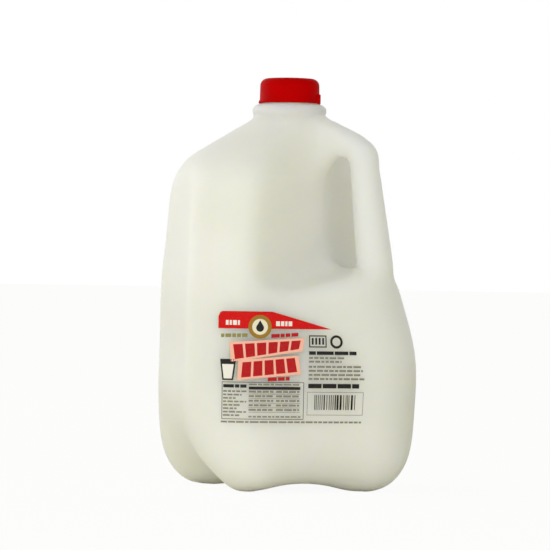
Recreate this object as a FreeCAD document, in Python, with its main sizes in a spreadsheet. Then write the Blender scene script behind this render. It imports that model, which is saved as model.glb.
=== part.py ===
import FreeCAD, Part
import Sketcher
import math
import os

# One-gallon jug of yogurt drink: a blow-moulded body with a handle in one corner, and its cap.
# Millimetres. +Z is up, the origin is on the neck's axis at the height of the feet, the handle's
# corner points to +X, and the mould parts on the XZ plane. The four walls face halfway between
# the axes. The jug is full and shut, so it is one solid, with the cap as a second one over its neck.

doc = FreeCAD.newDocument("yogurt_drink_bottle")

SIZES = (
    # body: half widths run from the axis to a wall, heights start at the feet
    ("body_half", 75.4, "axis to wall where the jug is widest"),
    ("corner_radius", 40.1, "upright corners of the body"),
    ("draft_height", 142.0, "height where the walls begin to lean in"),
    ("draft_low", 1.0, "how far the walls have leant in at draft_height"),
    ("shoulder_height", 194.7, "where the shoulder starts to turn in"),
    ("draft_high", 4.5, "how far the walls have leant in at the shoulder"),
    ("shoulder_corner", 46.6, "upright corners at the shoulder"),
    ("shoulder_round", 27.4, "radius of the turn into the shoulder"),
    ("shoulder_turn", 60.0, "degrees turned from wall to slope"),
    ("heel_run", 31.0, "how far the heel goes in under the body"),
    ("heel_rise", 50.7, "height at which the heel has become wall"),
    ("lean_start", 87.2, "height where the handle's corner starts to lean in"),
    ("lean", 14.2, "how far that corner has leant in at draft_height"),
    # feet
    ("push_up", 7.1, "rise of the middle of the base"),
    ("push_up_radius", 36.5, "radius of the raised middle of the base"),
    ("arch_half", 31.4, "half the width of the arch between two feet"),
    ("arch_rise", 5.2, "height of that arch"),
    ("foot_radius", 12.0, "upright corners at the floor"),
    ("scallop_front", 8.0, "how far the heel is drawn in below the two walls beside the handle"),
    ("scallop_back", 18.0, "how far it is drawn in below the two walls away from the handle"),
    ("foot_shift", 12.0, "how far the two feet on the Y axis stand nearer to the handle's corner"),
    ("scallop_rise", 46.6, "height at which that has faded out"),
    # hollow for the hand
    ("grip_wall", 26.4, "axis to the hollow's wall at the parting plane"),
    ("grip_draft", 6.5, "how far that wall falls back towards the outside"),
    ("grip_drop", 51.7, "shoulder down to the hollow's floor at the parting plane"),
    ("grip_fall", 26.4, "how much lower the floor is at the outside"),
    ("grip_round", 20.3, "radius between the hollow's wall and floor"),
    ("grip_turn", 6.0, "shoulder_height up to where the hollow's wall turns towards the neck"),
    ("grip_lean", 4.0, "how far it has come towards the neck above the neck's root, at the parting plane"),
    ("grip_sweep", 40.0, "what is added to that towards the outside"),
    # handle
    ("grip_low_x", 64.8, "axis to the middle of the handle at its lower end"),
    ("grip_low_rise", 6.1, "that end above the hollow's floor"),
    ("grip_high_x", 56.4, "axis to the middle of the handle below its elbow"),
    ("grip_high_rise", 15.6, "that place above shoulder_height"),
    ("grip_low_half", 10.9, "half the handle's depth at its lower end"),
    ("grip_high_half", 8.5, "half the handle's depth below its elbow"),
    ("grip_breadth", 1.4, "flat across the handle, on each side of the parting plane"),
    ("elbow_radius", 13.2, "bend between the grip and the arm, on the middle line"),
    ("elbow_fill", 0.6, "what the elbow adds to the half depth, outwards only"),
    ("arm_slope", 23.2, "degrees by which the arm falls away from the neck"),
    ("arm_half", 9.6, "half the arm's thickness at the neck"),
    ("arm_spread", 2.5, "what the arm adds to its flat at the neck"),
    ("root_drop", 30.4, "length of the root that spreads below the grip"),
    ("root_inset", 8.1, "how far the root's end lies inside the grip's line"),
    ("root_spread", 6.1, "what the root adds to the grip's half depth"),
    ("root_breadth", 9.1, "what the root adds to the grip's flat"),
    # neck
    ("neck_rise", 44.8, "shoulder_height to the neck's root"),
    ("neck_step", 5.2, "how much further the neck's root reaches out than the finish"),
    ("neck_height", 5.3, "root up to the middle of the collar"),
    ("collar_bulge", 1.5, "how far the collar stands out from the neck's root"),
    ("collar_half", 3.8, "half the height of the collar"),
    ("collar_face", 1.0, "half the height of its upright face"),
    ("collar_round", 2.5, "rounded edges of the collar"),
    ("finish_radius", 17.4, "neck under the cap"),
    ("finish_height", 19.0, "middle of the collar to the neck's rim"),
    ("bead", 0.6, "ring on the neck that holds the cap"),
    ("bead_drop", 8.1, "neck's rim down to that ring"),
    # cap
    ("cap_clearance", 0.3, "gap between the neck and the cap's skirt"),
    ("cap_wall", 1.1, "thickness of the skirt"),
    ("cap_top", 2.0, "thickness of the cap's disc"),
    ("cap_gap", 0.5, "gap between the collar and the skirt"),
    ("cap_round", 3.8, "rounded edge of the cap's top"),
    ("cap_foot", 1.5, "height of the upright edge at its foot"),
    ("cap_flare", 0.7, "how much the skirt widens from the disc to its foot"),
)

sheet = doc.addObject("Spreadsheet::Sheet", "Sizes")
for row, (alias, number, note) in enumerate(SIZES, start=1):
    sheet.set(f"A{row}", note)
    sheet.set(f"B{row}", str(number))
    sheet.setAlias(f"B{row}", alias)
doc.recompute()

# Levels of the heel as shares of its rise, and of the shoulder as shares of its turn.
HEEL_SHARES = (0.0, 0.03, 0.1, 0.25, 0.5, 1.0)
SHOULDER_SHARES = (0.0, 0.33, 0.67, 1.0)
HEEL_POWER = 2.08  # the heel's curve is a superellipse of this power
NECK_FLAT = 0.7  # half of the flat left on each side where the slope has become round
# Sections of the handle, and those of its root as shares of root_drop, spreading by this power.
HANDLE_STEPS = 14
ROOT_SHARES = (1.0, 0.5)
ROOT_POWER = 1.5
# Cutters run past the body: these many half widths sideways, and millimetres above and below.
BEYOND_WALL = 1.3
BEYOND_CORNER = 1.8
ABOVE_NECK = 20.0
BELOW_FEET = 5.0
NECK_DEPTH = 8.0  # the neck's core reaches this far down into the slope
NECK_ROOT = "(Sizes.finish_radius + Sizes.neck_step)"  # radius of the neck's root
RING_TOLERANCE = 0.01  # how near an edge has to be to the ring that is looked for


def size(expression):
    """The number that an expression of the sheet's cells gives."""
    return float(doc.getObject("Sizes").evalExpression(expression.replace("Sizes.", "")))


def origin_plane(body, role):
    """One of a body's own origin planes."""
    return next(plane for plane in body.Origin.OriginFeatures if plane.Role == role)


def new_sketch(body, name, role):
    """An empty sketch on one of the body's origin planes."""
    sketch = body.newObject("Sketcher::SketchObject", name)
    sketch.AttachmentSupport = [(origin_plane(body, role), "")]
    sketch.MapMode = "FlatFace"
    return sketch


def bind(sketch, constraint, name, expression):
    """Add a dimension to a sketch and tie it to the sheet."""
    index = sketch.addConstraint(constraint)
    sketch.renameConstraint(index, name)
    sketch.setExpression(f"Constraints.{name}", expression)


def pin_centre(sketch, arc, name, x_text, y_text):
    """Tie an arc's centre to a place measured from the sketch's origin."""
    for axis, text in (("X", x_text), ("Y", y_text)):
        if text is None:
            on_axis = -1 if axis == "Y" else -2
            sketch.addConstraint(Sketcher.Constraint("PointOnObject", arc, 3, on_axis))
            continue
        here = Sketcher.Constraint(f"Distance{axis}", -1, 1, arc, 3, size(text))
        bind(sketch, here, f"{name}_{axis.lower()}", text)


def tangent_line(start, start_radius, end, end_radius):
    """Ends of the line that touches two circles on their right-hand side, going anticlockwise."""
    span = end - start
    bearing = math.atan2(span.y, span.x)
    turn = math.acos((start_radius - end_radius) / span.Length)
    normal = FreeCAD.Vector(math.cos(bearing - turn), math.sin(bearing - turn), 0)
    return start + normal * start_radius, end + normal * end_radius


def drawn_in_side(start, end, corner, depth):
    """Arc, hollow from outside, that touches two equal corner circles and dips by depth between them."""
    half_span = (end - start).Length / 2
    reach = (half_span ** 2 + depth ** 2) / (2 * depth)
    middle = (start + end) / 2
    outward = FreeCAD.Vector(end.y - start.y, start.x - end.x, 0).normalize()
    centre = middle + outward * (reach - depth)
    touch_start = start + (centre - start).normalize() * corner
    touch_end = end + (centre - end).normalize() * corner
    return centre, reach - corner, touch_start, touch_end


def bearing_of(point, centre):
    """Direction of a point seen from a centre, in radians."""
    return math.atan2(point.y - centre.y, point.x - centre.x)


def add_arc(sketch, centre, radius, start, end):
    """Anticlockwise arc between two points."""
    begin, finish = bearing_of(start, centre), bearing_of(end, centre)
    if finish < begin:
        finish += 2 * math.pi
    circle = Part.Circle(centre, FreeCAD.Vector(0, 0, 1), radius)
    return sketch.addGeometry(Part.ArcOfCircle(circle, begin, finish))


def round_square(body, name, height, half, radius, lean="0", heel=None):
    """One level of the jug: a square with round corners, which lie on the X and Y axes.

    Its sides are straight, or in the heel dip in, the front pair and the back pair each by its own depth,
    while the corners on the Y axis move towards the handle.
    """
    sketch = new_sketch(body, name, "XY_Plane")
    sketch.AttachmentOffset = FreeCAD.Placement(FreeCAD.Vector(0, 0, size(height)), FreeCAD.Rotation())
    sketch.setExpression("AttachmentOffset.Base.z", height)
    reach = f"({half} - ({radius})) * sqrt(2)"
    shift = heel[2] if heel else None
    texts = ((f"{reach} - ({lean})", None), (shift, reach), (f"-({reach})", None), (shift, f"-({reach})"))
    centres = [FreeCAD.Vector(size(x or "0"), size(y or "0"), 0) for x, y in texts]
    corner = size(radius)
    dips = (heel[0], heel[1], heel[1], heel[0]) if heel else ()
    sides = []
    for i in range(4):
        ends = centres[i], centres[(i + 1) % 4]
        if dips:
            sides.append(drawn_in_side(*ends, corner, size(dips[i])))
        else:
            sides.append((None, None) + tangent_line(ends[0], corner, ends[1], corner))
    for i, centre in enumerate(centres):
        add_arc(sketch, centre, corner, sides[i - 1][3], sides[i][2])
        middle, bow, start, end = sides[i]
        if dips:
            add_arc(sketch, middle, bow, end, start)
        else:
            sketch.addGeometry(Part.LineSegment(start, end))
    side_start, side_end = (2, 1) if dips else (1, 2)
    for i in range(4):
        arc, side, following = 2 * i, 2 * i + 1, (2 * i + 2) % 8
        sketch.addConstraint(Sketcher.Constraint("Tangent", arc, 2, side, side_start))
        sketch.addConstraint(Sketcher.Constraint("Tangent", side, side_end, following, 1))
    for i, (x_text, y_text) in enumerate(texts):
        pin_centre(sketch, 2 * i, f"corner{i}", x_text, y_text)
    bind(sketch, Sketcher.Constraint("Radius", 0, corner), "radius", radius)
    for i in range(1, 4):
        sketch.addConstraint(Sketcher.Constraint("Equal", 0, 2 * i))
    for pair, (first, second), sign in (("front", (1, 7), "-"), ("back", (3, 5), "+")) if dips else ():
        depth = dips[first // 2]
        half_span_squared = f"(({reach})^2 + ({reach} {sign} ({shift}))^2) / 4"
        bow = f"({half_span_squared} + ({depth})^2) / (2 * ({depth})) - ({radius})"
        bind(sketch, Sketcher.Constraint("Radius", first, size(bow)), f"{pair}_bow", bow)
        sketch.addConstraint(Sketcher.Constraint("Equal", first, second))
    return sketch


def heel_levels():
    """Levels of the heel: it turns in under the body, and its sides are drawn in between the feet."""
    for share in HEEL_SHARES:
        height = f"Sizes.heel_rise * {share}"
        inset = f"Sizes.heel_run * (1 - (1 - (1 - {share})^{HEEL_POWER})^(1 / {HEEL_POWER}))"
        corner = f"Sizes.foot_radius + (Sizes.corner_radius - Sizes.foot_radius) * sin({share} * 90deg)"
        faded = f"min(1; {height} / Sizes.scallop_rise)"
        heel = [f"Sizes.{name} * (1 + cos({faded} * 180deg)) / 2"
                for name in ("scallop_front", "scallop_back", "foot_shift")]
        yield (height, f"Sizes.body_half - {inset}", corner, "0", heel if share < 1 else None)


def wall_levels():
    """Levels of the walls, with the handle's corner leaning in."""
    top_corner = "(Sizes.corner_radius + Sizes.shoulder_corner) / 2"
    yield ("Sizes.lean_start", "Sizes.body_half", "Sizes.corner_radius", "0")
    middle = "(Sizes.lean_start + Sizes.draft_height) / 2"
    yield (middle, "Sizes.body_half - Sizes.draft_low * 0.25", "Sizes.corner_radius", "Sizes.lean * 0.5")
    yield ("Sizes.draft_height", "Sizes.body_half - Sizes.draft_low", "Sizes.corner_radius", "Sizes.lean")
    upper = "(Sizes.draft_height + Sizes.shoulder_height) / 2"
    yield (upper, "Sizes.body_half - (Sizes.draft_low + Sizes.draft_high) / 2", top_corner, "Sizes.lean")


def shoulder_levels():
    """Levels of the turn from the walls into the slope, which ends nearly round."""
    for share in SHOULDER_SHARES:
        angle = f"{share} * Sizes.shoulder_turn * 1deg"
        half = f"(Sizes.body_half - Sizes.draft_high - Sizes.shoulder_round * (1 - cos({angle})))"
        height = f"Sizes.shoulder_height + Sizes.shoulder_round * sin({angle})"
        corner = f"Sizes.shoulder_corner * (1 - {share}) + ({half} - {NECK_FLAT}) * {share}"
        yield (height, half, corner, f"Sizes.lean * (1 - {share})")


def slope_levels():
    """The two ends of the straight slope from the shoulder up to the neck's root."""
    yield list(shoulder_levels())[-1]
    yield ("Sizes.shoulder_height + Sizes.neck_rise", NECK_ROOT, f"{NECK_ROOT} - {NECK_FLAT}", "0")


def add_loft(jug, name, prefix, levels, ruled):
    """A skin through a run of levels, added to the jug."""
    sketches = [round_square(jug, f"{prefix}{i:02d}", *level) for i, level in enumerate(levels)]
    loft = jug.newObject("PartDesign::AdditiveLoft", name)
    loft.Profile = sketches[0]
    loft.Sections = sketches[1:]
    loft.Ruled = ruled
    return loft


def outline(sketch, points, closed=True):
    """Straight lines through a list of points, joined end to end."""
    count = len(points) if closed else len(points) - 1
    for i in range(count):
        sketch.addGeometry(Part.LineSegment(points[i], points[(i + 1) % len(points)]))
    joints = count if closed else count - 1
    for i in range(joints):
        sketch.addConstraint(Sketcher.Constraint("Coincident", i, 2, (i + 1) % count, 1))


def hand_outline(jug, name, side):
    """The hollow's outline at one distance from the parting plane: -1 and 1 outside, 0 on it."""
    sketch = new_sketch(jug, name, "XZ_Plane")
    away = f"{-side} * Sizes.body_half * {BEYOND_WALL}"
    sketch.AttachmentOffset = FreeCAD.Placement(FreeCAD.Vector(0, 0, size(away)), FreeCAD.Rotation())
    sketch.setExpression("AttachmentOffset.Base.z", away)
    share = abs(side)
    wall = f"Sizes.grip_wall - Sizes.grip_draft * {share}"
    crest = f"{wall} - Sizes.grip_lean - Sizes.grip_sweep * {share}"
    turn = "Sizes.shoulder_height + Sizes.grip_turn"
    floor = f"Sizes.shoulder_height - Sizes.grip_drop - Sizes.grip_fall * {share}"
    top = f"Sizes.shoulder_height + Sizes.neck_rise + {ABOVE_NECK}"
    outside = f"Sizes.body_half * {BEYOND_CORNER}"
    left, bottom, high, right = size(wall), size(floor), size(top), size(outside)
    inner, bent = size(crest), size(turn)
    bend = size("Sizes.grip_round")
    centre = FreeCAD.Vector(left + bend, bottom + bend, 0)
    sketch.addGeometry(Part.LineSegment(FreeCAD.Vector(left, bent, 0), FreeCAD.Vector(left, centre.y, 0)))
    circle = Part.Circle(centre, FreeCAD.Vector(0, 0, 1), bend)
    sketch.addGeometry(Part.ArcOfCircle(circle, math.pi, 1.5 * math.pi))
    sketch.addGeometry(
        Part.LineSegment(FreeCAD.Vector(centre.x, bottom, 0), FreeCAD.Vector(right, bottom, 0)))
    sketch.addGeometry(Part.LineSegment(FreeCAD.Vector(right, bottom, 0), FreeCAD.Vector(right, high, 0)))
    sketch.addGeometry(Part.LineSegment(FreeCAD.Vector(right, high, 0), FreeCAD.Vector(inner, high, 0)))
    sketch.addGeometry(Part.LineSegment(FreeCAD.Vector(inner, high, 0), FreeCAD.Vector(left, bent, 0)))
    sketch.addConstraint(Sketcher.Constraint("Tangent", 0, 2, 1, 1))
    sketch.addConstraint(Sketcher.Constraint("Tangent", 1, 2, 2, 1))
    for first, second in ((2, 3), (3, 4), (4, 5), (5, 0)):
        sketch.addConstraint(Sketcher.Constraint("Coincident", first, 2, second, 1))
    for line in (0, 3):
        sketch.addConstraint(Sketcher.Constraint("Vertical", line))
    for line in (2, 4):
        sketch.addConstraint(Sketcher.Constraint("Horizontal", line))
    bind(sketch, Sketcher.Constraint("Radius", 1, bend), "bend", "Sizes.grip_round")
    bind(sketch, Sketcher.Constraint("DistanceX", -1, 1, 0, 1, left), "wall", wall)
    bind(sketch, Sketcher.Constraint("DistanceY", -1, 1, 2, 1, bottom), "floor", floor)
    bind(sketch, Sketcher.Constraint("DistanceY", -1, 1, 0, 1, bent), "turn", turn)
    bind(sketch, Sketcher.Constraint("DistanceX", -1, 1, 5, 1, inner), "crest", crest)
    bind(sketch, Sketcher.Constraint("DistanceY", -1, 1, 5, 1, high), "top", top)
    bind(sketch, Sketcher.Constraint("DistanceX", -1, 1, 3, 1, right), "outside", outside)
    return sketch


def cut_hand_hollow(jug):
    """Clear the handle's corner on both sides of the parting plane, with draft in the wall and floor."""
    outlines = [hand_outline(jug, f"Hollow{name}", side)
                for name, side in (("Front", -1), ("Middle", 0), ("Back", 1))]
    cut = jug.newObject("PartDesign::SubtractiveLoft", "Hollow")
    cut.Profile = outlines[0]
    cut.Sections = outlines[1:]
    cut.Ruled = True


def oval(jug, name, centre, tilt, half_depth, breadth):
    """One section of the handle, square to its middle line: two half circles joined by flats."""
    sketch = new_sketch(jug, name, "XY_Plane")
    turn = FreeCAD.Rotation(FreeCAD.Vector(0, 1, 0), tilt)
    sketch.AttachmentOffset = FreeCAD.Placement(FreeCAD.Vector(centre[0], 0, centre[1]), turn)
    radius, flat = size(half_depth), size(breadth)
    for side in (1, -1):
        circle = Part.Circle(FreeCAD.Vector(0, side * flat, 0), FreeCAD.Vector(0, 0, 1), radius)
        start = 0 if side == 1 else math.pi
        sketch.addGeometry(Part.ArcOfCircle(circle, start, start + math.pi))
        away = FreeCAD.Vector(-side * radius, side * flat, 0)
        back = FreeCAD.Vector(-side * radius, -side * flat, 0)
        sketch.addGeometry(Part.LineSegment(away, back))
    for first, second in ((0, 1), (1, 2), (2, 3), (3, 0)):
        sketch.addConstraint(Sketcher.Constraint("Tangent", first, 2, second, 1))
    for arc, name_y, text in ((0, "front", breadth), (2, "back", f"-({breadth})")):
        sketch.addConstraint(Sketcher.Constraint("PointOnObject", arc, 3, -2))
        bind(sketch, Sketcher.Constraint("DistanceY", -1, 1, arc, 3, size(text)), name_y, text)
    bind(sketch, Sketcher.Constraint("Radius", 0, radius), "half_depth", half_depth)
    sketch.addConstraint(Sketcher.Constraint("Equal", 0, 2))
    return sketch


def handle_line(share):
    """Place, tilt, half depth and flat of the handle at a share of its way from grip's foot to neck."""
    floor = size("shoulder_height - grip_drop")
    low = FreeCAD.Vector(size("grip_low_x"), floor + size("grip_low_rise"), 0)
    high = FreeCAD.Vector(size("grip_high_x"), size("shoulder_height + grip_high_rise"), 0)
    grip = high - low
    lean = math.atan2(-grip.x, grip.y)
    turned = math.pi / 2 - math.radians(size("arm_slope"))
    bend = size("elbow_radius")
    centre = high - FreeCAD.Vector(math.cos(lean), math.sin(lean), 0) * bend
    end = centre + FreeCAD.Vector(math.cos(turned), math.sin(turned), 0) * bend
    arm_length = (end.x - size(NECK_ROOT) / 2) / math.sin(turned)
    low_half, high_half, arm_half = size("grip_low_half"), size("grip_high_half"), size("arm_half")
    bend_length = bend * (turned - lean)
    flat = size("grip_breadth")
    way = share * (grip.Length + bend_length + arm_length)
    if way <= grip.Length:
        part = way / grip.Length
        return low + grip * part, lean, low_half + (high_half - low_half) * part, flat
    way -= grip.Length
    if way <= bend_length:
        angle = lean + way / bend
        fill = size("elbow_fill") * math.sin(math.pi * way / bend_length) ** 2
        place = centre + FreeCAD.Vector(math.cos(angle), math.sin(angle), 0) * (bend + fill)
        return place, angle, high_half + fill, flat
    part = (way - bend_length) / arm_length
    arm = FreeCAD.Vector(-math.sin(turned), math.cos(turned), 0)
    half_depth = high_half + (arm_half - high_half) * math.sqrt(part)
    return end + arm * (part * arm_length), turned, half_depth, flat + size("arm_spread") * part ** 2


def add_handle(jug):
    """Tubular handle: the root that spreads into the body's corner, then grip, elbow and arm."""
    foot = handle_line(0)[0]
    sketches = []
    for i, share in enumerate(ROOT_SHARES):
        drop = size("root_drop") * share
        spread = share ** ROOT_POWER
        centre = (foot.x - size("root_inset") * spread, foot.y - drop)
        half_depth = f"Sizes.grip_low_half + Sizes.root_spread * {spread}"
        breadth = f"Sizes.grip_breadth + Sizes.root_breadth * {spread}"
        sketches.append(oval(jug, f"Root{i}", centre, 0, half_depth, breadth))
    for i in range(HANDLE_STEPS + 1):
        place, tilt, half_depth, flat = handle_line(i / HANDLE_STEPS)
        sketches.append(oval(jug, f"Handle{i:02d}", (place.x, place.y), -math.degrees(tilt),
                             str(half_depth), str(flat)))
    loft = jug.newObject("PartDesign::AdditiveLoft", "Handle")
    loft.Profile = sketches[0]
    loft.Sections = sketches[1:]
    return loft


def half_section(body, name, points):
    """A closed half section on the XZ plane from (radius, height) pairs of expressions."""
    sketch = new_sketch(body, name, "XZ_Plane")
    corners = [FreeCAD.Vector(size(x), size(z), 0) for x, z in points]
    outline(sketch, corners)
    for i, (x_text, z_text) in enumerate(points):
        for axis, text, number in (("X", x_text, corners[i].x), ("Y", z_text, corners[i].y)):
            if text == "0":
                on_axis = -2 if axis == "X" else -1
                sketch.addConstraint(Sketcher.Constraint("PointOnObject", i, 1, on_axis))
                continue
            here = Sketcher.Constraint(f"Distance{axis}", -1, 1, i, 1, number)
            bind(sketch, here, f"point{i}_{axis.lower()}", text)
    return sketch


def revolve(body, name, sketch, kind="PartDesign::Revolution"):
    """Turn a half section once round the neck's axis."""
    turned = body.newObject(kind, name)
    turned.Profile = sketch
    turned.ReferenceAxis = (sketch, ["V_Axis"])
    turned.Angle = 360.0
    return turned


def round_rings(body, name, base, rings, radius):
    """Round the circular edges that lie at the given (radius, height) pairs around the neck's axis."""
    doc.recompute()
    wanted = [(size(reach), size(height)) for reach, height in rings]
    picked = []
    for i, edge in enumerate(base.Shape.Edges, start=1):
        if not isinstance(edge.Curve, Part.Circle):
            continue
        found = (edge.Curve.Radius, edge.Curve.Center.z)
        if any(math.dist(found, ring) < RING_TOLERANCE for ring in wanted):
            picked.append(f"Edge{i}")
    rounded = body.newObject("PartDesign::Fillet", name)
    rounded.Base = (base, picked)
    rounded.Radius = size(radius)
    rounded.setExpression("Radius", radius)
    return rounded


def add_neck(jug):
    """Neck: a collar just over the root, and the finish that the cap sits on."""
    root = "Sizes.shoulder_height + Sizes.neck_rise"
    collar = f"{root} + Sizes.neck_height"
    rim = f"{collar} + Sizes.finish_height"
    bead = f"{rim} - Sizes.bead_drop"
    widest = f"{NECK_ROOT} + Sizes.collar_bulge"
    top_edge = f"{NECK_ROOT} - Sizes.collar_bulge"
    points = (
        ("0", f"{root} - {NECK_DEPTH}"),
        ("Sizes.finish_radius", f"{root} - {NECK_DEPTH}"),
        (NECK_ROOT, root),
        (widest, f"{collar} - Sizes.collar_face"),
        (widest, f"{collar} + Sizes.collar_face"),
        (top_edge, f"{collar} + Sizes.collar_half"),
        ("Sizes.finish_radius", f"{collar} + Sizes.collar_half"),
        ("Sizes.finish_radius", f"{bead} - Sizes.bead * 2"),
        ("Sizes.finish_radius + Sizes.bead", bead),
        ("Sizes.finish_radius", f"{bead} + Sizes.bead * 2"),
        ("Sizes.finish_radius", rim),
        ("0", rim),
    )
    neck = revolve(jug, "Neck", half_section(jug, "NeckSection", points))
    rings = [(widest, f"{collar} - Sizes.collar_face"), (widest, f"{collar} + Sizes.collar_face"),
             (top_edge, f"{collar} + Sizes.collar_half")]
    round_rings(jug, "CollarRound", neck, rings, "Sizes.collar_round")


def cut_base(jug):
    """Raised middle of the base, and an arch between each pair of feet."""
    points = (
        ("0", f"-{BELOW_FEET}"),
        (f"Sizes.push_up_radius + 2 * {BELOW_FEET}", f"-{BELOW_FEET}"),
        ("Sizes.push_up_radius - 2 * Sizes.push_up", "Sizes.push_up"),
        ("0", "Sizes.push_up"),
    )
    revolve(jug, "PushUp", half_section(jug, "PushUpSection", points), "PartDesign::Groove")
    arch_radius = "(Sizes.arch_half^2 + Sizes.arch_rise^2) / (2 * Sizes.arch_rise)"
    for i, bearing in enumerate((45, 135)):
        sketch = new_sketch(jug, f"ArchSection{i}", "XZ_Plane")
        sketch.AttachmentOffset = FreeCAD.Placement(
            FreeCAD.Vector(0, 0, 0), FreeCAD.Rotation(FreeCAD.Vector(0, 1, 0), bearing))
        centre = FreeCAD.Vector(0, size(f"Sizes.arch_rise - {arch_radius}"), 0)
        circle = Part.Circle(centre, FreeCAD.Vector(0, 0, 1), size(arch_radius))
        sketch.addGeometry(circle)
        sketch.addConstraint(Sketcher.Constraint("PointOnObject", 0, 3, -2))
        drop = Sketcher.Constraint("DistanceY", -1, 1, 0, 3, centre.y)
        bind(sketch, drop, "drop", f"Sizes.arch_rise - {arch_radius}")
        bind(sketch, Sketcher.Constraint("Radius", 0, size(arch_radius)), "radius", arch_radius)
        arch = jug.newObject("PartDesign::Pocket", f"Arch{i}")
        arch.Profile = sketch
        arch.Type = "ThroughAll"
        arch.Midplane = True


def add_cap(cap):
    """Press-on cap: a disc with a rounded edge and a skirt that flares a little at its foot."""
    rim = "(Sizes.shoulder_height + Sizes.neck_rise + Sizes.neck_height + Sizes.finish_height)"
    foot = "(Sizes.shoulder_height + Sizes.neck_rise + Sizes.neck_height + Sizes.collar_half + Sizes.cap_gap)"
    inside = "(Sizes.finish_radius + Sizes.bead + Sizes.cap_clearance)"
    outside = f"({inside} + Sizes.cap_wall)"
    points = (
        ("0", rim),
        (inside, rim),
        (inside, foot),
        (f"{outside} + Sizes.cap_flare", foot),
        (f"{outside} + Sizes.cap_flare", f"{foot} + Sizes.cap_foot"),
        (outside, f"{rim} + Sizes.cap_top"),
        ("0", f"{rim} + Sizes.cap_top"),
    )
    turned = revolve(cap, "CapTurned", half_section(cap, "CapSection", points))
    round_rings(cap, "CapRound", turned, [(outside, f"{rim} + Sizes.cap_top")], "Sizes.cap_round")


jug = doc.addObject("PartDesign::Body", "Jug")
jug.Label = "jug"
body_levels = list(heel_levels()) + list(wall_levels()) + list(shoulder_levels())
add_loft(jug, "BodyLoft", "Level", body_levels, False)
add_loft(jug, "SlopeLoft", "Slope", slope_levels(), True)
cut_hand_hollow(jug)
add_handle(jug)
add_neck(jug)
cut_base(jug)
cap = doc.addObject("PartDesign::Body", "Cap")
cap.Label = "cap"
add_cap(cap)
doc.recompute()

for item in doc.Objects:
    if "Invalid" in item.State or "Error" in item.State:
        raise RuntimeError(f"{item.Name} failed: {item.State}")

os.makedirs("parts", exist_ok=True)
for body in (jug, cap):
    shape = body.Shape
    if shape.isNull() or not shape.isValid():
        raise RuntimeError(f"{body.Label} has no valid shape")
    print(body.Label, "volume", round(shape.Volume), "faces", len(shape.Faces), shape.BoundBox)
    shape.exportStep(f"parts/{body.Label}.step")
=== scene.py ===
import math
import random

import bmesh
import bpy
import numpy as np
from mathutils import Matrix, Vector
from mathutils.bvhtree import BVHTree
from mathutils.kdtree import KDTree


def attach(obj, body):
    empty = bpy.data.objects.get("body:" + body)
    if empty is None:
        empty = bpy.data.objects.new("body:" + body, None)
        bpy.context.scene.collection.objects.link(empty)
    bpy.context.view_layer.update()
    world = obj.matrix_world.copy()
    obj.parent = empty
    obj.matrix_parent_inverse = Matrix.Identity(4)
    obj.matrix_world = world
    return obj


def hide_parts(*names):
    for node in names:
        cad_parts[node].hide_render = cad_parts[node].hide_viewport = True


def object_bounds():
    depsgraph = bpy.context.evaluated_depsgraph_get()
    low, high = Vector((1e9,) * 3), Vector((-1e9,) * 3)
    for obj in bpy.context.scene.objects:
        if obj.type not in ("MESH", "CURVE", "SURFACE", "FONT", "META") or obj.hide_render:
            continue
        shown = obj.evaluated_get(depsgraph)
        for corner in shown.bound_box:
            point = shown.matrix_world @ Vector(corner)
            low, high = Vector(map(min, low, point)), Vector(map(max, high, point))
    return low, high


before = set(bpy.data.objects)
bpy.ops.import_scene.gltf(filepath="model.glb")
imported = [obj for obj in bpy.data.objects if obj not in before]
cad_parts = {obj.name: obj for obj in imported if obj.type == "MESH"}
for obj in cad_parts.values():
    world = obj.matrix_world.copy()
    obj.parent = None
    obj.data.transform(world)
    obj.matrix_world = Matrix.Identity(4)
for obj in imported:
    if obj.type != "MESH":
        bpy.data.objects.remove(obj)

# One-gallon jug of yogurt drink. The jug's solid gets a moulded skin whose edges are as soft as
# blow moulding leaves them, the cap's gets a rounded edge and a tear tab, and the print is thin
# ink on the skin. Lengths are metres, except that the print is laid out in millimetres.

CAD_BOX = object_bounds()
MM = 0.001

# ------------------------------------------------------------------ helpers


def linear(red, green, blue):
    """Scene-linear colour of a display colour given as 0 to 255."""
    def channel(value):
        value /= 255
        return value / 12.92 if value <= 0.04045 else ((value + 0.055) / 1.055) ** 2.4
    return tuple(channel(value) for value in (red, green, blue)) + (1.0,)


def add_mesh(name, vertices, faces, smooth=True):
    """A new mesh object from lists of points and faces."""
    mesh = bpy.data.meshes.new(name)
    mesh.from_pydata([tuple(v) for v in vertices], [], faces)
    mesh.update()
    obj = bpy.data.objects.new(name, mesh)
    bpy.context.collection.objects.link(obj)
    if smooth:
        mesh.polygons.foreach_set("use_smooth", [True] * len(mesh.polygons))
    return obj


def set_material(obj, material):
    """Give the whole object one material."""
    obj.data.materials.clear()
    obj.data.materials.append(material)


def read_rows(items, field, width, kind=float):
    """One field of a mesh's items as an array, a row for each item."""
    values = np.empty(len(items) * width, dtype=kind)
    items.foreach_get(field, values)
    return values.reshape(-1, width)


def write_points(mesh, points):
    """Move a mesh's points to the rows of an array."""
    mesh.vertices.foreach_set("co", points.ravel())
    mesh.update()


def bearing_vector(angle):
    """The level unit vector at an angle from +X towards +Y."""
    return Vector((math.cos(angle), math.sin(angle), 0))


# ------------------------------------------------------------------ materials


def new_material(name):
    """A material with its shader, and its node tree to add to."""
    material = bpy.data.materials.new(name)
    material.use_nodes = True
    tree = material.node_tree
    return material, tree, tree.nodes["Principled BSDF"]


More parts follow.
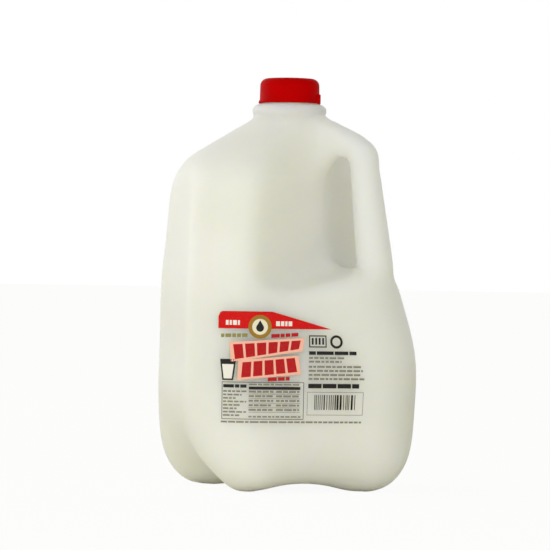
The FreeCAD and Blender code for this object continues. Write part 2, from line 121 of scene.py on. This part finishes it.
def object_noise(tree, scale, detail):
    """Noise that is fixed to the object's own coordinates."""
    place = tree.nodes.get("place") or tree.nodes.new("ShaderNodeTexCoord")
    place.name = "place"
    noise = tree.nodes.new("ShaderNodeTexNoise")
    noise.inputs["Scale"].default_value = scale
    noise.inputs["Detail"].default_value = detail
    tree.links.new(place.outputs["Object"], noise.inputs["Vector"])
    return noise


def ramp_between(tree, source, low, high, start=0.35, end=0.65):
    """Colours from low to high as a value runs from start to end."""
    ramp = tree.nodes.new("ShaderNodeValToRGB")
    first, last = ramp.color_ramp.elements
    first.position, first.color = start, low
    last.position, last.color = end, high
    tree.links.new(source, ramp.inputs["Fac"])
    return ramp


def bump_from(tree, source, strength, distance, under=None):
    """A bump node fed by a height, on top of another one if given."""
    bump = tree.nodes.new("ShaderNodeBump")
    bump.inputs["Strength"].default_value = strength
    bump.inputs["Distance"].default_value = distance
    tree.links.new(source, bump.inputs["Height"])
    if under:
        tree.links.new(under.outputs["Normal"], bump.inputs["Normal"])
    return bump


def moulded_plastic():
    """Milky polyethylene full of a pale drink: soft light inside, a fine pebbled gloss outside."""
    material, tree, shader = new_material("milky_polyethylene")
    cloud = object_noise(tree, 14.0, 3.0)
    tint = ramp_between(tree, cloud.outputs["Fac"], linear(236, 236, 229), linear(240, 239, 234))
    tree.links.new(tint.outputs["Color"], shader.inputs["Base Color"])
    shader.inputs["Subsurface Weight"].default_value = 1.0
    shader.inputs["Subsurface Radius"].default_value = (1.0, 0.95, 0.7)
    shader.inputs["Subsurface Scale"].default_value = 0.04
    shader.inputs["Roughness"].default_value = 0.36
    shader.inputs["IOR"].default_value = 1.5
    shader.inputs["Specular IOR Level"].default_value = 0.3
    pebble = object_noise(tree, 900.0, 2.0)
    wave = object_noise(tree, 38.0, 2.0)
    fine = bump_from(tree, pebble.outputs["Fac"], 0.12, 0.0003)
    broad = bump_from(tree, wave.outputs["Fac"], 0.25, 0.0008, fine)
    tree.links.new(broad.outputs["Normal"], shader.inputs["Normal"])
    return material


def cap_plastic():
    """Red polypropylene with a satin skin and faint flow marks."""
    material, tree, shader = new_material("red_polypropylene")
    cloud = object_noise(tree, 60.0, 3.0)
    tint = ramp_between(tree, cloud.outputs["Fac"], linear(186, 0, 1), linear(194, 0, 2))
    tree.links.new(tint.outputs["Color"], shader.inputs["Base Color"])
    shader.inputs["Roughness"].default_value = 0.5
    shader.inputs["Specular IOR Level"].default_value = 0.02
    pebble = object_noise(tree, 1500.0, 2.0)
    fine = bump_from(tree, pebble.outputs["Fac"], 0.15, 0.0002)
    tree.links.new(fine.outputs["Normal"], shader.inputs["Normal"])
    return material


INK_THIN = 0.015  # share of the wall's tone where the ink is thinnest
WALL_TONE = 0.7


def ink(name, colour):
    """Printing ink: matt, and slightly uneven."""
    material, tree, shader = new_material(name)
    speck = object_noise(tree, 700.0, 2.0)
    thin = tuple((1 - INK_THIN) * value + INK_THIN * WALL_TONE for value in colour[:3]) + (1.0,)
    tint = ramp_between(tree, speck.outputs["Fac"], thin, colour, 0.35, 0.5)
    tree.links.new(tint.outputs["Color"], shader.inputs["Base Color"])
    shader.inputs["Roughness"].default_value = 0.45
    shader.inputs["Specular IOR Level"].default_value = 0.2
    return material


# ------------------------------------------------------------------ skin of the jug

VOXEL = 1.3 * MM
SHARP_ANGLE = math.radians(22)
SHARP_STEP = 1.0 * MM
SOFT_REACH = 15 * MM  # how far from a sharp edge the skin gives way
SOFT_ROUNDS = 110
BODY_SOFTNESS = 0.6
GRIP_SOFTNESS = 0.15  # the handle is slim and keeps its shape
GRIP_HALF = 0.013
GRIP_START = 0.042
GRIP_FLOOR = 0.14
NECK_FLOOR = 0.2385
NECK_REACH = 0.027
FAIR_ROUNDS = 8  # light rounds over the whole skin, each pulled in and let out again
FAIR_IN, FAIR_OUT = 0.5, 0.52
ARM_WEDGE = ((0.018, 0.224), (0.018, 0.196), (0.0265, 0.203), (0.039, 0.2165), (0.034, 0.224))
ARM_WEDGE_HALF = 0.0085
WEDGE_MIDDLE = (0.026, 0.0, 0.210)
WEDGE_REACH = 0.030
SEAM_HALF = 0.9 * MM
SEAM_RISE = 0.3 * MM


def sharp_places(mesh):
    """Points along the edges where the solid's faces meet at an angle."""
    work = bmesh.new()
    work.from_mesh(mesh)
    bmesh.ops.remove_doubles(work, verts=work.verts, dist=1e-6)
    places = []
    for edge in work.edges:
        if len(edge.link_faces) != 2 or edge.calc_face_angle(0.0) < SHARP_ANGLE:
            continue
        start, end = edge.verts[0].co, edge.verts[1].co
        count = max(1, int((end - start).length / SHARP_STEP))
        places += [start.lerp(end, (i + 0.5) / count) for i in range(count)]
    work.to_mesh(mesh)
    work.free()
    return places


def add_wedge(mesh):
    """Plastic in the corner between the hollow's wall and the underside of the handle's arm."""
    work = bmesh.new()
    work.from_mesh(mesh)
    ends = [work.verts.new((x, y, z)) for y in (-ARM_WEDGE_HALF, ARM_WEDGE_HALF)
            for x, z in ARM_WEDGE]
    bmesh.ops.convex_hull(work, input=ends)
    work.to_mesh(mesh)
    work.free()


def even_mesh(mesh):
    """The same surface as one closed mesh of small even faces."""
    draft = bpy.data.objects.new("draft", mesh)
    bpy.context.collection.objects.link(draft)
    remesh = draft.modifiers.new("even", "REMESH")
    remesh.mode = "VOXEL"
    remesh.voxel_size = VOXEL
    graph = bpy.context.evaluated_depsgraph_get()
    even = bpy.data.meshes.new_from_object(draft.evaluated_get(graph))
    bpy.data.objects.remove(draft)
    return even


class Neighbours:
    """The points that each point of a mesh shares an edge with."""

    def __init__(self, mesh):
        pairs = read_rows(mesh.edges, "vertices", 2, np.int64)
        self.starts = np.concatenate((pairs[:, 0], pairs[:, 1]))
        self.ends = np.concatenate((pairs[:, 1], pairs[:, 0]))
        self.count = len(mesh.vertices)
        self.degree = np.maximum(1, np.bincount(self.starts, minlength=self.count))

    def pull(self, points):
        """For each point, the step to the mean of its neighbours."""
        mean = np.empty_like(points)
        for axis in range(3):
            total = np.bincount(self.starts, weights=points[self.ends, axis], minlength=self.count)
            mean[:, axis] = total / self.degree
        return mean - points


def softness(points, places, neck):
    """How much each point gives way: most by the sharp edges and the wedge, nothing on the neck."""
    tree = KDTree(len(places))
    for i, place in enumerate(places):
        tree.insert(place, i)
    tree.balance()
    away = np.array([tree.find(Vector(point))[2] for point in points])
    near = np.clip(1 - away / SOFT_REACH, 0, 1)
    near = near * near * (3 - 2 * near)
    wedge = np.linalg.norm(points - np.array(WEDGE_MIDDLE), axis=1)
    near = np.maximum(near, np.clip(2 - 2 * wedge / WEDGE_REACH, 0, 1))
    x, y, z = points.T
    grip = (np.abs(y) < GRIP_HALF) & (x > GRIP_START) & (z > GRIP_FLOOR)
    return near * np.where(neck, 0.0, np.where(grip, GRIP_SOFTNESS, BODY_SOFTNESS))


def make_skin(solid):
    """The jug's skin: its solid on an even grid, relaxed near the edges, with a parting line."""
    mesh = bpy.data.meshes.new_from_object(solid)
    mesh.transform(solid.matrix_world)
    places = sharp_places(mesh)
    add_wedge(mesh)
    even = even_mesh(mesh)

    points = read_rows(even.vertices, "co", 3)
    neighbours = Neighbours(even)
    neck = (points[:, 2] > NECK_FLOOR) & (np.hypot(points[:, 0], points[:, 1]) < NECK_REACH)
    weight = softness(points, places, neck)
    for _ in range(SOFT_ROUNDS):
        points += weight[:, None] * neighbours.pull(points)
    for _ in range(FAIR_ROUNDS):
        points += FAIR_IN * neighbours.pull(points)
        points -= FAIR_OUT * neighbours.pull(points)
    write_points(even, points)

    normals = read_rows(even.vertex_normals, "vector", 3)
    ridge = SEAM_RISE * np.exp(-(points[:, 1] / SEAM_HALF) ** 2) * np.where(neck, 0.0, 1.0)
    points += normals * ridge[:, None]
    points = np.clip(points, CAD_BOX[0], CAD_BOX[1])
    points[:, 2] = np.maximum(points[:, 2], 0)
    write_points(even, points)
    even.name = "bottle_skin"
    skin = bpy.data.objects.new("bottle_skin", even)
    bpy.context.collection.objects.link(skin)
    even.polygons.foreach_set("use_smooth", [True] * len(even.polygons))
    return skin


# ------------------------------------------------------------------ cap

CAP_TURNS = 128
CAP_ROUND = 4.7 * MM
CAP_STEPS = 8
CAP_DOME = 0.5 * MM
CAP_DRAFT = 0.2 * MM
CAP_ROOF = 1.9 * MM
CAP_WALL = 1.2 * MM
BEAD_PROUD = 0.7 * MM
BEAD_THICK = 1.6 * MM
BEAD_EDGE = 1.3 * MM
BEAD_TOP = 2.2 * MM
TAB_BEARING = math.radians(13)
TAB_HALF = 1.5 * MM
TAB_FOOT = 0.4 * MM
TAB_RISE = 6.0 * MM
TAB_PROUD = 0.7 * MM
TAB_BEVEL = 0.5 * MM
TAB_ROOT = 0.8 * MM


def cap_outline(foot, top, radius):
    """The cap's outer line up from the bead, and its inner line back down, as (reach, height)."""
    wall = radius - BEAD_PROUD
    outer = [(radius - BEAD_THICK, foot), (radius, foot), (radius, foot + BEAD_EDGE),
             (wall, foot + BEAD_TOP), (wall - CAP_DRAFT, top - CAP_DOME - CAP_ROUND)]
    for i in range(1, CAP_STEPS + 1):
        turn = math.pi / 2 * i / CAP_STEPS
        outer.append((wall - CAP_DRAFT - CAP_ROUND * (1 - math.cos(turn)),
                      top - CAP_DOME - CAP_ROUND * (1 - math.sin(turn))))
    rim = outer[-1][0]
    outer += [(rim * share, top - CAP_DOME * share ** 2) for share in (0.8, 0.6, 0.4, 0.2)]
    inner = [(0.2 * rim, top - CAP_ROOF), (rim, top - CAP_ROOF),
             (wall - CAP_WALL, top - 1.2 * CAP_ROUND), (radius - BEAD_THICK, foot + BEAD_TOP)]
    return outer, inner


def turned(name, outer, inner):
    """A hollow turned piece, its outer and inner lines each closed by a disc at the axis."""
    points, faces = [], []
    for reach, height in outer + inner:
        for i in range(CAP_TURNS):
            turn = 2 * math.pi * i / CAP_TURNS
            points.append((reach * math.cos(turn), reach * math.sin(turn), height))
    rings = len(outer) + len(inner)
    for ring in range(rings):
        if ring == len(outer) - 1:
            continue
        here, after = ring * CAP_TURNS, (ring + 1) % rings * CAP_TURNS
        for i in range(CAP_TURNS):
            j = (i + 1) % CAP_TURNS
            faces.append((here + i, here + j, after + j, after + i))
    middle = len(outer) * CAP_TURNS
    faces.append(tuple(range(middle - CAP_TURNS, middle)))
    faces.append(tuple(reversed(range(middle, middle + CAP_TURNS))))
    return add_mesh(name, points, faces)


def tear_tab(foot, radius):
    """The small bevelled tab on the cap's bead that a finger pulls."""
    outward = bearing_vector(TAB_BEARING)
    across = Vector((-outward.y, outward.x, 0))
    up = Vector((0, 0, 1))
    low, high = foot + TAB_FOOT, foot + TAB_RISE
    layers = ((radius - BEAD_PROUD - TAB_ROOT, 0.0), (radius + TAB_PROUD * 0.6, 0.0),
              (radius + TAB_PROUD, TAB_BEVEL))
    points = []
    for reach, inset in layers:
        half, low_edge, high_edge = TAB_HALF - inset, low + inset, high - inset
        corners = ((-half, low_edge), (half, low_edge), (half, high_edge), (-half, high_edge))
        points += [outward * reach + across * along + up * height for along, height in corners]
    faces = [(3, 2, 1, 0), (8, 9, 10, 11)]
    for at in (0, 4):
        for i in range(4):
            j = (i + 1) % 4
            faces.append((at + i, at + j, at + 4 + j, at + 4 + i))
    return add_mesh("cap_tab", points, faces, smooth=False)


def add_cap_skin(solid, material):
    """The cap with its edge rounded over into a faintly domed top, and its tear tab."""
    corners = [solid.matrix_world @ Vector(corner) for corner in solid.bound_box]
    foot = min(corner.z for corner in corners)
    top = max(corner.z for corner in corners)
    radius = max(corner.x for corner in corners)

    skin = turned("cap_skin", *cap_outline(foot, top, radius))
    set_material(skin, material)
    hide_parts("cap")
    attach(skin, "root")

    piece = tear_tab(foot, radius)
    set_material(piece, material)
    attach(piece, "root")


# ------------------------------------------------------------------ print

WALL_BEARING = math.radians(-45)
PRINT_HEIGHT = 0.080  # where distances along the wall are measured
RAY_START = 0.3
WALL_BEARINGS = np.radians(np.arange(-60, 50.5, 0.5))

# Millimetres: how far a film reaches into the wall, how far each layer of ink stands proud of it,
# and the spacing of a film's points.
SINK = 0.15
LIFTS = (0.05, 0.08, 0.11, 0.14)
GRID_STEP = 1.6
RING_STEP = 0.8
WORD_GAP = 0.7


class Wall:
    """The printed wall as a flat sheet: millimetres along it from its middle, and up the jug."""

    def __init__(self, skin):
        mesh = skin.data
        self.tree = BVHTree.FromPolygons([v.co for v in mesh.vertices],
                                         [p.vertices for p in mesh.polygons])
        ring = [self.hit(WALL_BEARING + bearing, PRINT_HEIGHT)[0] for bearing in WALL_BEARINGS]
        steps = [0.0] + [(b - a).length for a, b in zip(ring, ring[1:])]
        along = np.cumsum(steps)
        middle = np.interp(0.0, WALL_BEARINGS, along)
        self.along = (along - middle) / MM

    def hit(self, bearing, height):
        """Where the wall is at one bearing and height, and which way it faces."""
        outward = bearing_vector(bearing)
        origin = outward * RAY_START + Vector((0, 0, height))
        place, normal, _, _ = self.tree.ray_cast(origin, -outward)
        return place, normal

    def place(self, along, up, lift):
        """A point on the sheet, lifted off the wall by so many millimetres."""
        bearing = WALL_BEARING + float(np.interp(along, self.along, WALL_BEARINGS))
        point, normal = self.hit(bearing, up * MM)
        return point + normal * (lift * MM)


class Print:
    """Thin ink shapes of one colour, gathered into one piece."""

    def __init__(self, wall):
        self.wall, self.points, self.faces = wall, [], []

    def sheet(self, shape, across, upward, layer, closed=False):
        """A thin closed film over a shape that maps (0..1, 0..1) to the wall."""
        columns = across if closed else across + 1
        rows = upward + 1
        first = len(self.points)
        for lift in (LIFTS[layer], -SINK):
            for j in range(rows):
                for i in range(columns):
                    along, up = shape(i / across, j / upward)
                    self.points.append(self.wall.place(along, up, lift))
        under = rows * columns

        def corner(i, j, low=0):
            return first + low * under + j * columns + i % columns

        for j in range(upward):
            for i in range(across):
                ring = ((i, j), (i + 1, j), (i + 1, j + 1), (i, j + 1))
                self.faces.append([corner(*c) for c in ring])
                self.faces.append([corner(*c, 1) for c in reversed(ring)])
        rim = []
        for i in range(across):
            rim.append(((i, 0), (i + 1, 0)))
            rim.append(((i + 1, upward), (i, upward)))
        if not closed:
            for j in range(upward):
                rim.append(((across, j), (across, j + 1)))
                rim.append(((0, j + 1), (0, j)))
        for start, end in rim:
            self.faces.append([corner(*start, 1), corner(*end, 1), corner(*end), corner(*start)])

    def bar(self, left, right, low, high, layer=1, slant=0.0):
        """A rectangle, raised towards the right by slant."""
        across = max(1, round((right - left) / GRID_STEP))
        upward = max(1, round((high - low) / GRID_STEP))

        def shape(a, b):
            return left + (right - left) * a, low + (high - low) * b + slant * a
        self.sheet(shape, across, upward, layer)

    def quad(self, corners, layer=1):
        """A four-sided field from its corners, anticlockwise from the lower left."""
        (x0, z0), (x1, z1), (x2, z2), (x3, z3) = corners
        across = max(1, round(max(x1 - x0, x2 - x3) / GRID_STEP))
        upward = max(1, round(max(z3 - z0, z2 - z1) / GRID_STEP))

        def shape(a, b):
            low = (x0 + (x1 - x0) * a, z0 + (z1 - z0) * a)
            high = (x3 + (x2 - x3) * a, z3 + (z2 - z3) * a)
            return low[0] + (high[0] - low[0]) * b, low[1] + (high[1] - low[1]) * b
        self.sheet(shape, across, upward, layer)

    def ring(self, along, up, inner, outer, layer=1):
        """A ring, or a disc when inner is 0."""
        around = max(16, round(2 * math.pi * outer / RING_STEP))
        bands = max(1, round((outer - inner) / GRID_STEP))

        def shape(a, b):
            reach = outer + (max(inner, 0.02) - outer) * b
            turn = 2 * math.pi * a
            return along + reach * math.cos(turn), up + reach * math.sin(turn)
        self.sheet(shape, around, bands, layer, closed=True)

    def frame(self, left, right, low, high, line):
        """The outline of a box."""
        self.bar(left, right, high - line, high)
        self.bar(left, right, low, low + line)
        self.bar(left, left + line, low + line, high - line)
        self.bar(right - line, right, low + line, high - line)

    def words(self, dice, left, right, low, high, longest=5.0, slant=0.0, layer=1):
        """A row of short bars, where the real print has a line of words."""
        at = left
        while at < right - 0.8:
            end = min(right, at + dice.uniform(0.35, 1.0) * longest)
            rise = slant * (at - left) / (right - left)
            turn = slant * (end - at) / (right - left)
            self.bar(at, end, low + rise, high + rise, layer, turn)
            at = end + WORD_GAP

    def build(self, name, material):
        """The gathered shapes as one piece."""
        obj = add_mesh(name, self.points, self.faces, smooth=False)
        work = bmesh.new()
        work.from_mesh(obj.data)
        bmesh.ops.dissolve_degenerate(work, dist=1e-7, edges=work.edges)
        work.to_mesh(obj.data)
        work.free()
        set_material(obj, material)
        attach(obj, "root")


# Each ink's piece and its display colour.
INKS = {
    "red": ("print_pennant", (214, 4, 4)),
    "dark": ("print_dark", (30, 28, 28)),
    "grey": ("print_small_rows", (140, 136, 124)),
    "olive": ("print_olive_row", (150, 142, 80)),
    "wine": ("print_blocks", (186, 18, 24)),
    "rose": ("print_halo", (252, 190, 168)),
    "gold": ("print_ring", (160, 120, 40)),
    "cream": ("print_disc", (240, 232, 205)),
    "white": ("print_white", (245, 240, 232)),
}


def print_pennant(films, dice):
    """A red pennant with a rounded corner and a falling tip, with a plain medallion on it."""
    left, width, foot, top = -62.9, 74.1, 104.0, 114.8
    tip_start, tip_run, tip_drop = -28.5, 39.7, 10.8
    corner_radius = 3.2
    medal, medal_up, disc, rim = -36.0, 105.2, 5.0, 7.4

    def pennant(a, b):
        along = left + width * a
        edge = top - max(0.0, along - tip_start) / tip_run * tip_drop
        corner = max(0.0, corner_radius - (along - left))
        edge -= corner_radius - math.sqrt(max(0.0, corner_radius ** 2 - corner ** 2))
        return along, foot + (edge - foot) * b
    films["red"].sheet(pennant, 60, 7, 1)
    films["gold"].ring(medal, medal_up, disc, rim, 2)
    films["cream"].ring(medal, medal_up, 0.0, disc, 2)
    films["dark"].ring(medal, medal_up - 0.6, 0.0, 2.5, 3)
    films["dark"].quad([(-38.3, 105.4), (-33.7, 105.4), (-35.9, 109.2), (-36.1, 109.2)], 3)
    films["white"].words(dice, -57.8, -48.8, 106.2, 109.2, 3.2, layer=2)
    films["white"].words(dice, -25.8, -15.2, 105.8, 108.8, 3.6, layer=2)


def print_title(films, dice):
    """Two slanted rows of blocks on pale halos, with short rows above and below, and a beaker."""
    halo_side, halo_edge, block_gap = 1.8, 1.5, 0.1
    films["olive"].words(dice, -60.9, -43.9, 98.4, 100.6, 6.0, 0.4)
    films["wine"].words(dice, -28.7, -10.3, 98.3, 100.6, 6.0, 1.2)
    rows = (((-52.2, 84.6), (-10.0, 91.6), (-8.7, 97.0), (-53.6, 94.0), 6),
            ((-48.2, 73.2), (-10.9, 77.2), (-12.6, 86.0), (-47.4, 82.8), 5))

    def spot(share, left, right):
        return left[0] + (right[0] - left[0]) * share, left[1] + (right[1] - left[1]) * share
    for low_left, low_right, high_right, high_left, blocks in rows:
        films["rose"].quad([(low_left[0] - halo_side, low_left[1] - halo_edge),
                            (low_right[0] + halo_side, low_right[1] - halo_edge),
                            (high_right[0] + halo_side, high_right[1] + halo_edge),
                            (high_left[0] - halo_side, high_left[1] + halo_edge)], 0)
        for i in range(blocks):
            start, end = (i + block_gap) / blocks, (i + 1 - block_gap) / blocks
            films["wine"].quad([spot(start, low_left, low_right), spot(end, low_left, low_right),
                                spot(end, high_left, high_right),
                                spot(start, high_left, high_right)], 1)
    films["wine"].words(dice, -30.5, -16.5, 71.2, 73.4, 6.0, 0.6, layer=2)
    films["dark"].quad([(-59.5, 71.6), (-52.5, 71.6), (-50.8, 84.8), (-61.2, 84.8)], 0)
    films["white"].quad([(-58.6, 72.6), (-53.4, 72.6), (-52.2, 81.6), (-59.8, 81.6)], 1)


def print_table(films, dice):
    """A ruled table of short bars, with a row of them under the whole panel."""
    dark, grey = films["dark"], films["grey"]
    left, middle, right = -58.8, -42.5, -9.5
    dark.frame(-59.7, -7.1, 47.2, 70.6, 0.35)
    dark.words(dice, left, -44.0, 67.0, 69.0, 7.0)
    for i in range(8):
        up = 64.2 - 2.15 * i
        grey.words(dice, left, -44.0 - 3.0 * (i % 3), up, up + 1.0, 4.5)
    grey.words(dice, middle, right, 68.6, 69.6, 6.0)
    dark.bar(middle, right, 65.9, 67.7)
    for i in range(5):
        up = 64.2 - 2.85 * i
        grey.words(dice, middle, -26.8, up - 0.2, up + 1.0, 5.0)
        grey.words(dice, -25.0, -10.0, up - 0.2, up + 1.0, 5.0)
        grey.bar(middle, right, up - 1.2, up - 0.95)
    grey.words(dice, middle, -9.0, 48.4, 49.4, 4.0)
    grey.words(dice, -60.1, 31.0, 45.0, 46.1, 6.0)


def print_right_column(films, dice):
    """A box and a ring, rows of short bars, and a framed field of upright bars."""
    dark, grey = films["dark"], films["grey"]
    left = -4.0
    dark.frame(left, 7.6, 92.6, 100.2, 0.7)
    for i in range(4):
        dark.bar(-2.2 + 2.3 * i, -1.0 + 2.3 * i, 94.4, 98.6)
    dark.ring(14.2, 96.2, 2.7, 4.2, 1)
    dark.words(dice, left, 27.2, 88.0, 90.2, 12.0)
    grey.words(dice, left, 18.9, 85.4, 86.6, 5.0)
    grey.words(dice, left, 17.2, 83.1, 84.3, 5.0)
    for i, end in enumerate((31.0, 31.0, 29.4, 32.2)):
        up = 79.9 - 2.55 * i
        grey.words(dice, -4.2, end, up, up + 1.2, 5.0)
    dark.words(dice, -4.4, 28.6, 67.0, 69.8, 9.0)
    grey.frame(-5.0, 31.6, 50.0, 64.6, 0.3)
    at, last = -0.2, 27.4
    while at < last:
        wide = dice.choice((0.45, 0.45, 0.8, 1.2))
        dark.bar(at, at + wide, 53.4, 62.8)
        at += wide + dice.choice((0.5, 0.8, 1.1))


def print_panel(wall):
    """The whole printed panel, laid out in millimetres along the wall and up from the feet."""
    dice = random.Random(7)
    films = {name: Print(wall) for name in INKS}
    for field in (print_pennant, print_title, print_table, print_right_column):
        field(films, dice)
    for name, (piece, colour) in INKS.items():
        films[name].build(piece, ink("ink_" + name, linear(*colour)))


# ------------------------------------------------------------------ object

skin = make_skin(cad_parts["jug"])
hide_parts("jug")
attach(skin, "root")
set_material(skin, moulded_plastic())
print_panel(Wall(skin))
add_cap_skin(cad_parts["cap"], cap_plastic())

# ------------------------------------------------------------------ stage, light and camera

CAMERA_BEARING = math.radians(31)
CAMERA_DISTANCE = 2.3
CAMERA_ROLL = math.radians(0.86)
SENSOR_WIDTH = 36.0
PICTURE_WIDTH = 0.3571  # what the picture spans at the jug's axis
AIM_SIDE = -0.0078
AIM_HEIGHT = 0.1378
LAMP_AIM = Vector((0, 0, 0.13))
FLOOR_HALF = 30.0
FLOOR_COLOUR = (0.86, 0.84, 0.68, 1)
FLOOR_WHITE = 0.94  # share of plain white where the floor is seen; the rest keeps the shadow
FLOOR_MIRRORED = 0.2
SKY_LEVEL = 0.58
SKY_TINT = (0.99, 1.0, 0.95)
SKY_PULL = (-0.40, -0.26, 0.0)  # the sky gets brighter this way


def larger(tree, first, second):
    """The larger of two values."""
    either = tree.nodes.new("ShaderNodeMath")
    either.operation = "MAXIMUM"
    tree.links.new(first, either.inputs[0])
    tree.links.new(second, either.inputs[1])
    return either.outputs["Value"]


def white_share(tree, direct, mirrored):
    """How white a thing looks: a share for the camera and through glass, one in reflections."""
    path = tree.nodes.new("ShaderNodeLightPath")
    shares = {"Is Camera Ray": direct, "Is Transmission Ray": direct, "Is Glossy Ray": mirrored}
    parts = []
    for kind, share in shares.items():
        part = tree.nodes.new("ShaderNodeMath")
        part.operation = "MULTIPLY"
        part.inputs[1].default_value = share
        tree.links.new(path.outputs[kind], part.inputs[0])
        parts.append(part.outputs["Value"])
    straight, through, glossy = parts
    return larger(tree, larger(tree, straight, through), glossy)


def add_floor():
    """A plain pale floor that looks nearly white and keeps the object's shadow."""
    half = FLOOR_HALF
    corners = [(-half, -half, 0), (half, -half, 0), (half, half, 0), (-half, half, 0)]
    floor = add_mesh("floor", corners, [(0, 1, 2, 3)], smooth=False)
    material, tree, shader = new_material("pale_floor")
    shader.inputs["Base Color"].default_value = FLOOR_COLOUR
    shader.inputs["Roughness"].default_value = 0.9
    glow = tree.nodes.new("ShaderNodeEmission")
    mix = tree.nodes.new("ShaderNodeMixShader")
    tree.links.new(white_share(tree, FLOOR_WHITE, FLOOR_MIRRORED), mix.inputs["Fac"])
    tree.links.new(shader.outputs["BSDF"], mix.inputs[1])
    tree.links.new(glow.outputs["Emission"], mix.inputs[2])
    tree.links.new(mix.outputs["Shader"], tree.nodes["Material Output"].inputs["Surface"])
    set_material(floor, material)


def light_world():
    """White behind the object, and for its light a pale sky that is brighter on the left."""
    world = bpy.data.worlds.new("studio")
    bpy.context.scene.world = world
    world.use_nodes = True
    tree = world.node_tree
    back = tree.nodes["Background"]
    seen = white_share(tree, 1.0, 1.0)
    colour = tree.nodes.new("ShaderNodeMix")
    colour.data_type = "RGBA"
    colour.inputs["A"].default_value = tuple(SKY_LEVEL * value for value in SKY_TINT) + (1,)
    colour.inputs["B"].default_value = (1, 1, 1, 1)
    tree.links.new(seen, colour.inputs["Factor"])
    tree.links.new(colour.outputs["Result"], back.inputs["Color"])

    place = tree.nodes.new("ShaderNodeTexCoord")
    pull = tree.nodes.new("ShaderNodeVectorMath")
    pull.operation = "DOT_PRODUCT"
    pull.inputs[1].default_value = SKY_PULL
    tree.links.new(place.outputs["Generated"], pull.inputs[0])
    level = tree.nodes.new("ShaderNodeMath")
    level.operation = "ADD"
    level.inputs[1].default_value = 1.0
    tree.links.new(pull.outputs["Value"], level.inputs[0])
    tree.links.new(larger(tree, level.outputs["Value"], seen), back.inputs["Strength"])


def add_lamp(name, bearing, height, distance, size, power, colour, mirrored=True):
    """A soft square lamp aimed at the jug, at degrees round from -Y and up; the camera skips it."""
    lamp = bpy.data.lights.new(name, "AREA")
    lamp.shape = "SQUARE"
    lamp.size = size
    lamp.energy = power
    lamp.color = colour
    obj = bpy.data.objects.new(name, lamp)
    obj.visible_glossy = mirrored
    obj.visible_camera = False
    bpy.context.collection.objects.link(obj)
    angle, rise = math.radians(bearing), math.radians(height)
    level = math.cos(rise)
    back = Vector((math.sin(angle) * level, -math.cos(angle) * level, math.sin(rise)))
    obj.location = LAMP_AIM + back * distance
    obj.rotation_euler = back.to_track_quat("Z", "Y").to_euler()


def add_camera():
    """The camera: level with the jug's middle, and to the right of its front corner."""
    data = bpy.data.cameras.new("camera")
    data.sensor_width = SENSOR_WIDTH
    data.lens = data.sensor_width * CAMERA_DISTANCE / PICTURE_WIDTH
    camera = bpy.data.objects.new("camera", data)
    bpy.context.collection.objects.link(camera)
    bpy.context.scene.camera = camera
    side = bearing_vector(CAMERA_BEARING)
    back = Vector((side.y, -side.x, 0))
    up = Vector((0, 0, 1))
    right = side * math.cos(CAMERA_ROLL) + up * math.sin(CAMERA_ROLL)
    top = up * math.cos(CAMERA_ROLL) - side * math.sin(CAMERA_ROLL)
    camera.matrix_world = Matrix((right, top, back)).transposed().to_4x4()
    camera.location = side * AIM_SIDE + up * AIM_HEIGHT + back * CAMERA_DISTANCE


add_floor()
light_world()
add_lamp("key", bearing=-90, height=8, distance=2.0, size=1.8, power=9.0, colour=(0.95, 0.94, 1.0))
add_lamp("fill", bearing=52, height=2, distance=1.4, size=0.8, power=3.4,
         colour=(0.99, 1.0, 0.99), mirrored=False)
add_lamp("low", bearing=22, height=-4, distance=1.0, size=0.3, power=2.7,
         colour=(0.97, 0.98, 1.0), mirrored=False)
add_camera()
scene = bpy.context.scene
scene.view_settings.view_transform = "Standard"
